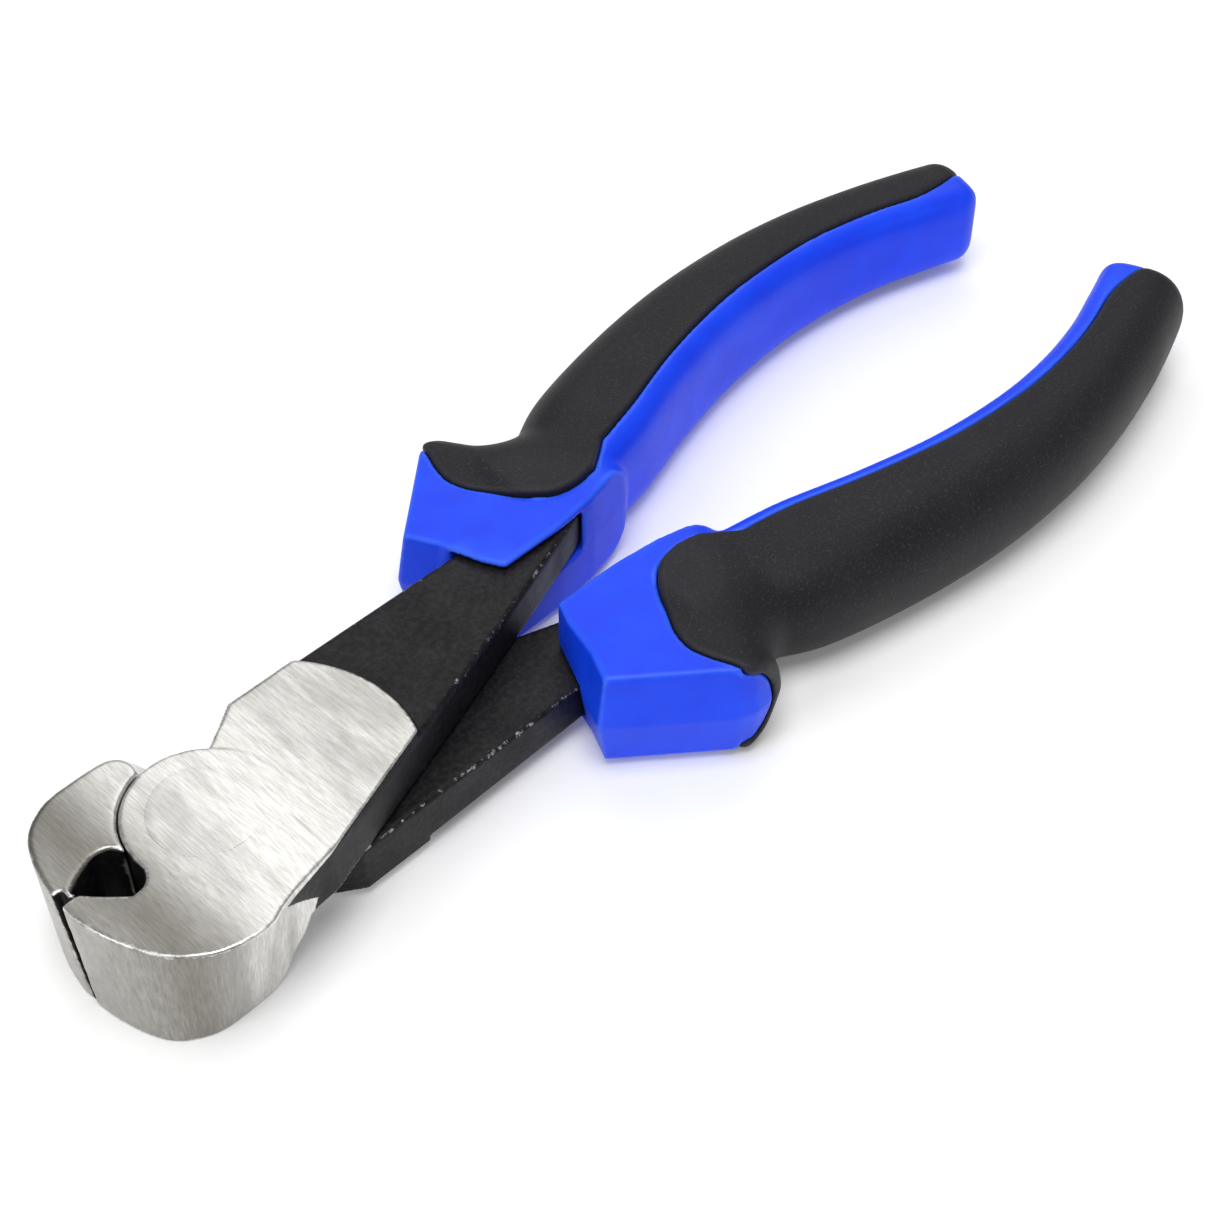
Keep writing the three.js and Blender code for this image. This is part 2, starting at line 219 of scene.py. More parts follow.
# %% [markdown]
# ## The levers
# A lever is one forging. Its jaw is a block the full thickness of the tool, curved on the outside and
# narrower towards one face. Behind it a round boss laps over the other lever's boss, and the arm
# carries on at half the thickness. The maker grinds the jaws and the joint's face bright after
# forging, and leaves the arm rough and black. The ground face stops in an arc where the wheel left
# the work, a third of a millimetre above the rough arm.

# %% Sizes of a lever, in millimetres
joint_half = jaw_half - 1.1  # centre plane to the ground face
lap_gap = 0.1  # half the gap between the lapped faces
boss_radius = 8.7
boss_gap = 0.15

arm_top = joint_half - 0.35
arm_end = 58.6
arm_thinning = 0.9  # how much thinner it is at its end than at the heel
arm_outer = 10.4  # rivet axis to the outer edge, which runs along the tool
arm_inner_line = 13.7  # rivet axis to the line of the inner edge
arm_slope = math.radians(18)  # between that line and the tool's axis
bend_start, bend_rate = 22.0, 0.0006  # where the inner edge leaves that line, and how fast
heel_x, heel_angle = 10.8, math.radians(51)  # the heel's corner, and where it leaves the boss
arm_round = 0.7  # radius of the upper edges

edge_lean = 0.08  # slope of the plane in which the cutting edges meet
edge_gap = 0.05
rear_turn = math.radians(21)  # how far a jaw's back face is turned from square
rear_top, rear_low = 2.5, 5.0  # rivet axis to that face, at the centre plane and at the end face
corner_top, corner_gain = 0.3, 3.2  # radius of its outer corner there, and what it gains on the way
wall_end = 6.0  # by this x the jaw's side wall has become the arm's inner edge
ramp_x, ramp_y, ramp_centre = 12.58, 20.54, -8.33  # the ellipse that the upper face ramps down about
ramp_start, ramp_length = 5.0, 11.0  # the ramp begins so far inside it, and is so long

hollow_lip, hollow_wide = 1.6, 5.6  # cutting edge to the hollow's point and to its widest place
hollow_half, hollow_lean = 3.3, 0.16
slot_depth, slot_low, slot_gain = 1.2, 0.12, 0.62  # its half width below, and what it gains above

tang_start, tang_end, tang_centre = 47.6, 95.6, 8.2
tang_half, tang_thick = 2.8, 3.0
rivet_shank, rivet_head, rivet_sink = 3.8, 5.0, 1.8

ground_centre, ground_radius = (7.0, -0.4), 16.6  # the arc in which the ground face ends
ground_round = 0.32  # radius left on an edge between two ground faces
slant_start, slant_x, slant_z = -1.93, 0.68, 0.73  # the slanted line in which it ends on the side wall
beyond_x, beyond_y = 62.0, 40.0  # corners out of sight, where an outline is closed

# the jaw's outline at its upper and lower end face, in shares of reach and side
jaw_crest = [
    (-1.0, -0.1), (-0.968, -0.29), (-0.9, -0.51), (-0.795, -0.73),
    (-0.61, -0.91), (-0.42, -0.985), (-0.24, -0.99), (-0.12, -0.935),
]
jaw_foot = [
    (-1.0, -0.1), (-0.96, -0.34), (-0.885, -0.56), (-0.785, -0.69),
    (-0.62, -0.78), (-0.42, -0.795), (-0.24, -0.79), (-0.12, -0.78),
]


def arm_inner(x):
    """The arm's inner edge: a straight line that leans outwards from the tool's axis, and bends out a
    little more by the square of the distance past bend_start."""
    line = (x * math.sin(arm_slope) - arm_inner_line) / math.cos(arm_slope)
    return line + bend_rate * np.maximum(x - bend_start, 0)**2


def arm_height(x):
    """The arm's upper face: level as far as the heel, then a little thinner towards the grip."""
    return arm_top - arm_thinning * np.clip((x - heel_x) / (arm_end - heel_x), 0, 1)


def arm_outline(start, grow=0.0, end=arm_end):
    """The arm in plan, grown by so much: out along the inner edge and back along the outer one to the
    heel, and on to the rivet when the arm starts in front of the heel."""
    heel = (boss_radius * math.cos(heel_angle), boss_radius * math.sin(heel_angle))
    inner = [(a, arm_inner(a) - grow) for a in np.linspace(start, end, 7)]
    outer = [(end, arm_outer + grow), (max(start, heel_x), arm_outer + grow)]
    return inner + outer + ([heel, (0, 0)] if start < heel[0] else [])


# %% The parts of a lever, each as a distance
def jaw_wall(x, y, z):
    """The jaw's side wall: the distance from the outline at one end face changing evenly into the
    distance from the outline at the other. Behind the jaw both run into the arm's inner edge."""
    def plan(shares):
        wall = smooth_line([(-reach, 0)] + [(a * reach, b * side) for a, b in shares])
        start = shares[-1][1] * side * arm_inner(0) / arm_inner(shares[-1][0] * reach)
        back = [(0, start), (wall_end, arm_inner(wall_end)), (beyond_x, arm_inner(beyond_x)),
                (beyond_x, beyond_y), (-reach, beyond_y)]
        return outline_distance(x, y, np.vstack([wall, back]))

    crest, foot = plan(jaw_crest), plan(jaw_foot)
    share = (z + jaw_half) / (2 * jaw_half)
    return foot + (crest - foot) * share


def jaw_rear(x, y, z):
    """The jaw's back face: a plane turned away from square, so that the other arm can swing, and
    leaning forwards from the centre plane to the end face."""
    across = x * math.cos(rear_turn) + y * math.sin(rear_turn)
    return across + rear_top - (rear_low - rear_top) * (z + lap_gap) / (jaw_half - lap_gap)


def face_height(x, y):
    """The upper face: the jaws' end face stands 1.1 mm proud and ramps down to the joint's face over
    an arc, an ellipse about a point between the jaws."""
    outside = (np.hypot((x - ramp_centre) / ramp_x, y / ramp_y) - 1) * ramp_x
    ramp = np.clip((outside + ramp_start) / ramp_length, 0, 1)
    return jaw_half - (jaw_half - joint_half) * ramp**2 * (3 - 2 * ramp)


def hollow(x, y, z):
    """The opening behind the cutting edges: a drop shape in plan. Its half width rises nearly in a
    straight line from the point in front and falls as an ellipse does towards the boss. The point
    leans, from one side at the upper face to the other at the lower. The sides slant, so the distance
    from them is taken as 0.72 of the way across."""
    front, wide, back = -reach + hollow_lip, -reach + hollow_wide, -boss_radius - 0.1
    rise = np.clip((x - front) / (wide - front), 0, 1)
    fall = np.clip((x - wide) / (back - wide), 0, 1)
    half = hollow_half * rise**0.8 * np.sqrt(np.maximum(1 - 0.8 * fall**3, 0))
    centre = hollow_lean * z * (1 - rise)
    ends = np.maximum(front - x, x - back)
    return np.maximum((np.abs(y - centre) - half) * 0.72, ends)


def rivet_radius(z):
    """The rivet's radius at a height: the shank, then a cone out to the head."""
    out = np.clip((np.abs(z) - jaw_half + rivet_sink) / rivet_sink, 0, 1)
    return rivet_shank + (rivet_head - rivet_shank) * out


def tang(x, y, z, grow=0.0):
    """The bar that the arm ends in, hidden in the core. It starts straight, and over 20 mm its middle
    moves to the middle of the grip and follows it."""
    _, out = along_grip(np.maximum(x, 58), y)
    moved = np.clip((x - 47) / 20, 0, 1)
    centre = tang_centre + (y - out - tang_centre) * moved**2 * (3 - 2 * moved)
    length = np.maximum(tang_start - grow - x, x - tang_end - grow)
    flat = cut(np.abs(y - centre) - tang_half - grow, length, 1.0)
    return cut(flat, np.abs(z) - tang_thick - grow, 0.5)


# %% [markdown]
# ## The line that a grip follows
# A grip bows out in the middle and comes back in at its end. Its section changes all the way: widest
# and deepest just behind the finger guard, slimmer at the end. So the grip is given by stations
# along it, and each station says how far out its middle is, how wide and how deep. The section
# between them is round on the side the fingers reach and nearly flat on the inner side.

# %% Stations of a grip
neck_x = 64.0
grip_half = 7.67
# share of the grip's length, middle's distance from the axis, half width, share of grip_half
stations = np.array([
    (-0.12, 13.4, 6.2, 0.84), (0.0, 14.6, 7.1, 0.9), (0.1, 17.2, 8.1, 0.98), (0.25, 20.4, 7.7, 1.0),
    (0.4, 22.5, 7.2, 0.97), (0.55, 23.1, 6.7, 0.93), (0.68, 22.3, 6.3, 0.9), (0.8, 20.4, 6.1, 0.86),
    (0.9, 18.0, 6.1, 0.84), (1.0, 15.2, 6.0, 0.82), (1.1, 12.3, 6.0, 0.81),
])
stations[:, 0] = neck_x + stations[:, 0] * (handle_end - neck_x)
line_x, line_y, line_half, line_tall = smooth_line(stations, 12).T
line_slope = np.gradient(line_y, line_x)


def along_grip(x, y):
    """Where a point lies beside the grip: the x of the nearest point of the middle line, found by
    stepping along the line's slope, and how far out from it the point is."""
    foot = np.broadcast_to(x, np.broadcast(x, y).shape)
    for _ in range(4):
        slope = np.interp(foot, line_x, line_slope)
        away = y - np.interp(foot, line_x, line_y)
        foot = foot + ((x - foot) + away * slope) / (1 + slope**2)
    slope = np.interp(foot, line_x, line_slope)
    out = (y - np.interp(foot, line_x, line_y) - slope * (x - foot)) / np.sqrt(1 + slope**2)
    return foot, out


# %% Put a lever together
def lever(x, y, z):
    """The upper lever: jaw, joint face, boss, arm and tang, less the hollow, the other lever's boss
    and the rivet's hole."""
    round_axis = np.hypot(x, y)
    edge_plane = y - edge_lean * z + edge_gap
    wall = jaw_wall(x, y, z)

    # below the lapped faces the jaw has a back, and above them it runs on into the arm
    low_share = np.clip(-z / jaw_half, 0, 1)
    below = cut(wall, jaw_rear(x, y, z), corner_top + corner_gain * low_share**2)
    above = np.maximum(np.maximum(wall, x - wall_end), lap_gap - z)
    jaw = np.minimum(above, np.maximum(below, z - 1))
    jaw = cut(cut(jaw, np.abs(z) - jaw_half, ground_round), edge_plane, 0.1)
    jaw = cut(jaw, -hollow(x, y, z), 0.25)
    jaw = cut(jaw, -cut(round_axis - boss_radius - boss_gap, z - lap_gap), 0.05)

    # the joint's face stops where the wheel did, and the boss carries the rivet
    slab = np.maximum(lap_gap - z, z - face_height(x, y))
    arm_side = np.maximum(outline_distance(x, y, arm_outline(0)), wall)
    plan = np.minimum(round_axis - boss_radius, arm_side)
    wheel = np.hypot(x - ground_centre[0], y - ground_centre[1]) - ground_radius
    face = cut(cut(plan, slab, ground_round), wheel, 0.1)
    boss = cut(round_axis - boss_radius, np.maximum(lap_gap - z, z - jaw_half), 0.25)
    head = cut(join(join(jaw, face), boss), z - face_height(x, y), 0.3)

    # the rough arm starts under that face
    arm_plan = outline_distance(x, y, rounded(arm_outline(9.0), 0.8))
    arm = cut(cut(arm_plan, z - arm_height(x), arm_round), lap_gap - z, 0.5)
    body = join(join(head, arm, 0.1), tang(x, y, z), 0.8)
    return cut(body, rivet_radius(z) + 0.1 - round_axis)


def front_slot(x, y, z, sign):
    """The wedge left between the ground edges at the front, 1.2 mm deep: 1.5 mm wide at the upper face
    and a quarter of a millimetre at the lower one."""
    up = np.clip((sign * z + jaw_half) / (2 * jaw_half), 0, 1)
    half = slot_low + slot_gain * up**0.6
    return np.maximum(np.abs(sign * (y - edge_lean * z) - half) - half, x + reach - slot_depth)


low = np.array([-reach - MARGIN, -side - MARGIN, -jaw_half - MARGIN])
high = np.array([tang_end + 1.9, 28.0, jaw_half + MARGIN])
x, y, z = space(low, high, CELL)
lever_shape = lever(x, y, z)
print("lever cells", lever_shape.shape)


# %% Where a lever is ground bright
def ground_zone(points, sign):
    """How far inside the ground zone a point is, in millimetres. On the joint's face the zone is the
    wheel's arc, on the jaw's side wall it ends in a slanted line, and the lapped faces and the head in
    front of the boss are ground all over. The hollow was never reached and stays black. The boss's wall
    behind it and the slot between the edges are kept black too, as painted shade."""
    px, py, pz = points.T
    arc = ground_radius - 0.1 - np.hypot(px - ground_centre[0], py - ground_centre[1])
    upper = np.minimum(np.maximum(arc, 2 - px), (pz - arm_top - 0.12) * 3)
    wall = (joint_half + 0.02 - pz) * slant_z - slant_x * (px - slant_start)
    jaw = np.minimum(np.minimum(wall, -jaw_rear(px, py, pz)), -1.5 - py)
    lapped = np.minimum(lap_gap + 0.25 - pz, 12 - px)
    front = 1 - boss_radius - px
    zone = np.maximum(np.maximum(upper, jaw), np.maximum(front, lapped))
    # the boss's wall beside the hollow and the slot between the edges are kept black as painted shade
    opening = np.minimum(hollow(px, py, pz), np.hypot(px + 9, py) - 4.2)
    in_hollow = np.maximum(opening - 0.1, np.abs(pz) - jaw_half + 0.35)
    in_slot = np.maximum(front_slot(px, py, pz, sign) - 0.2, -reach + 0.12 - px)
    return np.minimum(zone, np.minimum(in_hollow, np.maximum(in_slot, np.abs(pz) - jaw_half + 0.15)))


levers = {}
for word, sign in (("upper", 1), ("lower", -1)):
    shape = cut(lever_shape, -front_slot(x, y, z, sign))
    zone = functools.partial(ground_zone, sign=sign)
    levers[word] = skin(f"{word}_lever_forging", shape, low, CELL, sign < 0, ground=zone)

# %% [markdown]
# ## The grips
# The blue core is moulded on the tang. In front it swells into a collar with straight walls, a little
# narrower towards its faces so that it leaves the mould, and a guard that keeps the fingers off the
# jaws. A second mould then puts rubber over the outer side. The rubber stands a little proud, its
# rim is rounded, and a fine groove shows where the two meet. Both pieces come from the same two
# shapes, the bowed grip and the collar, so they fit each other wherever those are changed.

# %% Sizes of a grip, in millimetres
guard_x, guard_outer = 51.5, 26.6  # the finger guard's peak
collar_x, collar_inner = 45.2, 4.0  # the collar's leading corner
collar_half = 6.67
collar_draft = 1.1  # how much the outer wall comes in between the middle and a face
collar_back = 61.6
collar_turn = math.radians(30.3)  # how far its back end is turned from square
collar_round = 7.3
guard_rim = 1.7  # rubber behind the guard
rubber_side, rubber_top = 1.8, 1.2  # its thickness on the outer side, and above and below
rubber_proud = 0.3
blue_band = 3.1  # plastic that stays bare beside the inner edge
band_end, band_gain = 11.0, 3.2  # over this last length the band grows by so much
seam_gap = 0.12  # width of the groove between the two
fit_gap = 0.3  # room between the arm and its slot
slot_end, slot_round = 60.5, 2.7  # where that slot ends, and the radius it ends in


# %% The grip's two shapes
def grip_body(x, y, z, step, side_in=0.0, inner_in=0.0, high_in=0.0, end_in=0.0):
    """The bowed grip, taken in on each side by so much. A section is the curve where the sum of the
    two half widths' shares, each raised to a power, is one: 2.25 is nearly an ellipse, 4.5 nearly a
    rectangle."""
    foot, out = along_grip(x, y)
    half = np.interp(foot, line_x, line_half)
    tall = np.interp(foot, line_x, line_tall) * grip_half - high_in
    width = np.where(out > 0, half - side_in, half - inner_in)
    power = np.where(out > 0, 2.25, 4.5)
    share = (np.abs(out) / width)**power + (np.abs(z) / tall)**power
    section = evened(share**(1 / power) - 1, step)
    end = (foot - handle_end + end_in) * np.sqrt(1 + np.interp(foot, line_x, line_slope)**2)
    return cut(cut(section, end, 3.0), line_x[0] + 1 - x)


def collar(x, y, z, side_in=0.0, high_in=0.0, rim=0.0):
    """The collar: a plan with straight sides that narrows towards its faces, in full from y = 12
    outwards and hardly at all near the axis, ended behind by a half round seen from the side."""
    plan = rounded([
        (collar_x, collar_inner), (collar_x - 6, 0.61 * guard_outer),
        (guard_x - 0.5, guard_outer - 0.3), (guard_x + 1.6, guard_outer + 0.5),
        (guard_x + 3.8, guard_outer + 0.4), (guard_x + 9, guard_outer - 1.5), (neck_x, guard_outer - 6),
        (neck_x + 8, collar_inner + 6), (neck_x + 3, collar_inner + 2.5),
        (neck_x - 4, collar_inner + 0.8), (neck_x - 10, collar_inner + 0.1),
    ], 0.45)
    draft = collar_draft * np.clip((y - 6) / 6, 0.15, 1)
    wall = outline_distance(x, y, plan) + draft * np.abs(z) / collar_half + side_in
    block = cut(wall, np.abs(z) - collar_half + high_in, 0.55)
    across = x * math.cos(collar_turn) + y * math.sin(collar_turn)
    behind = across - (collar_back + rim - collar_round)
    return cut(block, np.hypot(np.maximum(behind, 0), z) - collar_round, 0.7)


def rubber_zone(x, y, z):
    """Where rubber covers the core. In plan it starts in a rounded lobe on the collar and then keeps
    its distance from the inner edge. The collar's outer wall stays bare."""
    lobe = smooth_line([
        (guard_x + a, guard_outer + b) for a, b in (
            (1.2, 6), (0.9, 0.5), (0.2, -2.4), (-0.7, -4.8), (-1.2, -7.4), (-0.6, -10), (0.9, -12.6),
            (2.4, -15.2), (4.1, -17.2), (6.2, -18.5), (9, -18.9), (12, -18.4),
        )])
    on = line_x > lobe[-1, 0] + 2.5
    widening = np.clip((line_x - handle_end + band_end) / band_end, 0, 1)**2 * band_gain
    inset = -line_half + blue_band + widening
    length = np.sqrt(1 + line_slope**2)
    band = np.stack([line_x - line_slope / length * inset, line_y + inset / length], 1)[on]
    outer = [(handle_end + 12, beyond_y), (guard_x + 1, beyond_y)]
    plan = outline_distance(x, y, np.vstack([lobe, band, outer]))
    wall = np.maximum(guard_outer - rubber_side - y, np.abs(z) - collar_half + rubber_top)
    across = x * math.cos(collar_turn) + y * math.sin(collar_turn)
    behind = np.maximum(across - (collar_back - collar_round), 0)
    bare = cut(wall, np.hypot(behind, z) - collar_round, 0.8)
    return cut(plan, -bare, 0.5)


def arm_pocket(x, y, z):
    """The slot that the arm goes into, open on the inner side and rounded at its blind end."""
    plan = outline_distance(x, y, arm_outline(collar_x - 12, fit_gap, slot_end))
    slab = np.maximum(lap_gap - fit_gap - z, z - arm_height(x) - fit_gap)
    return cut(cut(plan, slab, 0.3), cut(x - slot_end + 0.5, slab, slot_round))


# %% Core and rubber of one grip, then turned over for the other
low = np.array([collar_x - 8, 1.0, -jaw_half - MARGIN])
high = np.array([handle_end + 3, guard_outer + 5.2, jaw_half + MARGIN])
x, y, z = space(low, high, GRIP_CELL)
covered = rubber_zone(x, y, z)
# the core is as big as the grip where it stays bare, and is taken in under the rubber
inner_core = join(
    grip_body(x, y, z, GRIP_CELL, side_in=rubber_side, inner_in=0.4, high_in=rubber_top, end_in=1.0),
    collar(x, y, z, side_in=rubber_side, high_in=rubber_top), 0.8)
outside = join(
    grip_body(x, y, z, GRIP_CELL, side_in=0.25, inner_in=0.25, high_in=0.25),
    collar(x, y, z, rim=guard_rim), 1.6)
bare_part = cut(outside, -covered, 0.35)
pocket = np.minimum(arm_pocket(x, y, z), tang(x, y, z, fit_gap))
core_shape = cut(np.minimum(inner_core, bare_part), -pocket, 0.4)
# the rubber is what stands outside that core within its own zone
proud = join(
    grip_body(x, y, z, GRIP_CELL, end_in=0.3),
    collar(x, y, z, side_in=-rubber_proud, high_in=-rubber_proud, rim=guard_rim), 4.0)
proud = cut(proud, np.abs(z) - grip_half, 0.3)
cover_shape = cut(cut(proud, covered + seam_gap, 0.5), 0.05 - inner_core)

cores, covers = {}, {}
for word, sign in (("upper", 1), ("lower", -1)):
    cores[word] = skin(f"{word}_grip_blue_core", core_shape, low, GRIP_CELL, sign < 0)
    covers[word] = skin(f"{word}_grip_rubber_cover", cover_shape, low, GRIP_CELL, sign < 0)

# %% [markdown]
# ## The rivet
# The rivet is hammered into a countersink on both sides and then ground off flush with the joint, so
# hardly a line of it shows. It is a profile carried round its axis: a grid whose rows are points
# from one face's centre to the other's, and whose columns are angles.

# %% The rivet as a surface of two parameters
rim_width, rim_depth = 0.5, 1.3
face_lift, rim_dip = 0.012, 0.01  # the face stands above the joint's, and its rim lies under it


def rivet_surface(columns=96):
    """Radius by height along the profile, turned once round. The faces take the joint's own height
    and dip under it at their rim, so that hardly any outline shows. The brim is wider than the hole
    that the cells leave in a lever."""
    brim = rivet_head + 0.6 + 1.6 * CELL
    face = np.concatenate([np.linspace(0, brim - rim_width, 12), [brim - 0.02, brim]])
    wall_z = np.array([jaw_half - 1.5, jaw_half - rivet_sink, -jaw_half + rivet_sink, -jaw_half + 1.5])
    radius = np.concatenate([face, [brim], rivet_radius(wall_z), [brim], face[::-1]])
    level = np.full(len(face), jaw_half)
    height = np.concatenate([level, [jaw_half - rim_depth], wall_z, [-jaw_half + rim_depth], -level])
    turn = np.linspace(0, 2 * math.pi, columns, endpoint=False)
    px = radius[:, None] * np.cos(turn)
    py = radius[:, None] * np.sin(turn)
    top = face_height(px, py)
    pz = np.clip(height[:, None], -face_height(px, -py), top) * np.ones_like(px)
    lift = np.interp(radius, [brim - rim_width, brim], [face_lift, -rim_dip])
    lift = lift * (np.abs(height) == jaw_half)
    pz += np.sign(pz) * lift[:, None]
    return np.stack([px, py, pz], 2)


surface = rivet_surface()
rows, columns = surface.shape[:2]
points = np.vstack([surface[0, 0], surface[1:-1].reshape(-1, 3), surface[-1, 0]])
ring = np.arange(columns)
ahead = (ring + 1) % columns
quads = np.array([[1 + r * columns + ring, 1 + (r + 1) * columns + ring,
                   1 + (r + 1) * columns + ahead, 1 + r * columns + ahead]
                  for r in range(rows - 3)]).transpose(0, 2, 1).reshape(-1, 4)
last_ring = 1 + (rows - 3) * columns
rivet_mesh = bpy.data.meshes.new("pivot_rivet_ground_flush")
caps = [(0, 1 + i, 1 + j) for i, j in zip(ring, ahead)]
caps += [(len(points) - 1, last_ring + j, last_ring + i) for i, j in zip(ring, ahead)]
rivet_mesh.from_pydata((points + (0, 0, middle_z)) * MM, [], quads.tolist() + caps)
rivet_mesh.shade_smooth()
for key, value in (("ground", 5.0), ("edge", 0.0)):
    marked = rivet_mesh.attributes.new(key, "FLOAT", "POINT")
    marked.data.foreach_set("value", np.full(len(points), value, np.float32))
rivet = bpy.data.objects.new("pivot_rivet_ground_flush", rivet_mesh)
bpy.context.scene.collection.objects.link(rivet)
print("rivet faces", len(rivet_mesh.polygons))

# %% [markdown]
# ## Materials
# Every pattern reads Object coordinates, so it is in real metres and stays with its piece when the
# joint opens. Two numbers kept on the meshes help: `edge`, above zero on outside edges and below zero
# in grooves, and on the levers `ground`, how far inside the ground zone a point is in millimetres.


# %% One function adds a node, one reads a colour
def linear(code):
    """An sRGB hex colour in linear light: each channel to the power 2.4, with a straight foot."""
    parts = [int(code[i:i + 2], 16) / 255 for i in (1, 3, 5)]
    return [p / 12.92 if p < 0.04045 else ((p + 0.055) / 1.055)**2.4 for p in parts] + [1.0]


def add(tree, kind, inputs, **settings):
    """One shader node with its settings. An input is a value, or another node's output socket."""
    made = tree.nodes.new("ShaderNode" + kind)
    for key, value in settings.items():
        setattr(made, key, value)
    for key, value in inputs.items():
        if isinstance(value, bpy.types.NodeSocket):
            tree.links.new(value, made.inputs[key])
        else:
            made.inputs[key].default_value = value
    return made


def new_material(name):
    material = bpy.data.materials.new(name)
    material.use_nodes = True
    material.node_tree.nodes.clear()
    return material, material.node_tree


# %% [markdown]
# ### Forged steel, belt-ground and blackened
# Medium-carbon steel. Where the belt has ground it, it is bare metal with fine lines across the tool:
# a soft, stretched shine. The rest keeps the black oxide of its heat treatment, slightly speckled and
# a little rough, and the black is rubbed through to steel along the edges. Both finishes are on one
# forging, so this is one material that changes at the line `ground`.

# %% Steel: its patterns
steel, tree = new_material("Carbon_steel_forged_belt_ground_and_blackened")
place = add(tree, "TexCoord", {}).outputs["Object"]
# belt lines 0.2 mm apart and 2.5 mm long; a real 120 grit belt leaves 0.1 mm, too fine to show
lines_at = add(tree, "Mapping", {"Vector": place, "Scale": (1 / 0.0002, 1 / 0.0026, 1 / 0.0022)})
lines = add(tree, "TexNoise", {"Vector": lines_at.outputs[0], "Scale": 1.0, "Detail": 4.0,
                               "Roughness": 0.7}).outputs[0]
# broad soft bands, 3 mm apart, where the belt pressed harder
strokes_at = add(tree, "Mapping", {"Vector": place, "Scale": (1 / 0.003, 1 / 0.012, 1 / 0.03)})
strokes = add(tree, "TexNoise", {"Vector": strokes_at.outputs[0], "Scale": 1.0,
                                 "Detail": 2.0}).outputs[0]
# clouds 5 mm across, and forging specks 0.7 mm and 0.25 mm across
cloud = add(tree, "TexNoise", {"Vector": place, "Scale": 1 / 0.005, "Detail": 2.0}).outputs[0]
specks = add(tree, "TexNoise", {"Vector": place, "Scale": 1 / 0.0007, "Detail": 3.0,
                                "Roughness": 0.7}).outputs[0]
grit = add(tree, "TexNoise", {"Vector": place, "Scale": 1 / 0.00025, "Detail": 2.0}).outputs[0]
edge = add(tree, "Attribute", {}, attribute_name="edge").outputs["Fac"]
ground = add(tree, "Attribute", {}, attribute_name="ground").outputs["Fac"]

# %% Steel: where it is bare metal
# the line between the finishes wanders by a few tenths of a millimetre
ragged = add(tree, "Math", {0: specks, 1: 0.3, 2: ground}, operation="MULTIPLY_ADD").outputs[0]
bright = add(tree, "MapRange", {"Value": ragged, "From Min": 0.09, "From Max": 0.21}).outputs[0]
# rubbed edges: sharp enough, and in the stretches, 1.2 mm long, where something struck them
struck = add(tree, "TexNoise", {"Vector": place, "Scale": 1 / 0.0012, "Detail": 5.0,
                                "Roughness": 0.75}).outputs[0]
high_edge = add(tree, "Math", {0: struck, 1: 4.0, 2: edge}, operation="MULTIPLY_ADD").outputs[0]
# only out on the black, from 1 mm beside the ground faces
rub = add(tree, "MapRange", {"Value": ground, "From Min": -1.0, "From Max": -2.5,
                             "To Max": 0.7}).outputs[0]
rubbed = add(tree, "MapRange", {"Value": high_edge, "From Min": 3.05, "From Max": 3.4,
                                "To Max": rub}).outputs[0]
metal = add(tree, "Math", {0: bright, 1: rubbed}, operation="MAXIMUM").outputs[0]

# %% Steel: its colours
# painted light and shade along the tool: the bare steel is painted darker towards the jaws and lighter
# towards the joint, a little lighter again at the cutting edges, and darker again at the heel
along = add(tree, "SeparateXYZ", {"Vector": place}).outputs["X"]
joint = add(tree, "MapRange", {"Value": along, "From Min": -0.012, "From Max": -0.003},
            interpolation_type="SMOOTHSTEP").outputs["Result"]
tip = add(tree, "MapRange", {"Value": along, "From Min": -0.0125, "From Max": -0.017,
                             "To Max": 0.3}).outputs["Result"]
heel = add(tree, "MapRange", {"Value": along, "From Min": 0.005, "From Max": 0.02,
                              "To Min": 1.0, "To Max": 0.72}).outputs["Result"]
joint = add(tree, "Math", {0: joint, 1: heel, 2: tip}, operation="MULTIPLY_ADD").outputs[0]
lit = add(tree, "MapRange", {"Value": lines, "From Min": 0.34, "From Max": 0.66}).outputs[0]
# a shaded and a lit copy of the bare steel, mixed by that painted light
shaded_bare = add(tree, "Mix", {"Factor": lit, "A": linear("#7F7C75"), "B": linear("#96938C")},
           data_type="RGBA").outputs["Result"]
lit_bare = add(tree, "Mix", {"Factor": lit, "A": linear("#CDCBC5"), "B": linear("#F6F5F2")},
            data_type="RGBA").outputs["Result"]
bare = add(tree, "Mix", {"Factor": joint, "A": shaded_bare, "B": lit_bare},
           data_type="RGBA").outputs["Result"]
worked = add(tree, "MapRange", {"Value": strokes, "From Min": 0.55, "From Max": 0.35,
                                "To Max": 0.45}).outputs[0]
bare = add(tree, "Mix", {"Factor": worked, "A": bare, "B": linear("#86827F")},
           data_type="RGBA").outputs["Result"]
# sharp edges painted near white: partly worn chips of bare steel, partly a painted highlight along the
# edge
edge_chips_and_glint = add(tree, "MapRange", {"Value": high_edge, "From Min": 3.1, "From Max": 3.7,
                                "To Max": 0.6}).outputs[0]
bare = add(tree, "Mix", {"Factor": edge_chips_and_glint, "A": bare, "B": linear("#F6F6F4")},
           data_type="RGBA").outputs["Result"]
soot = add(tree, "MapRange", {"Value": specks, "From Min": 0.4, "From Max": 0.72}).outputs[0]
oxide = add(tree, "Mix", {"Factor": soot, "A": linear("#100E10"), "B": linear("#282528")},
            data_type="RGBA").outputs["Result"]
colour = add(tree, "Mix", {"Factor": metal, "A": oxide, "B": bare},
             data_type="RGBA").outputs["Result"]

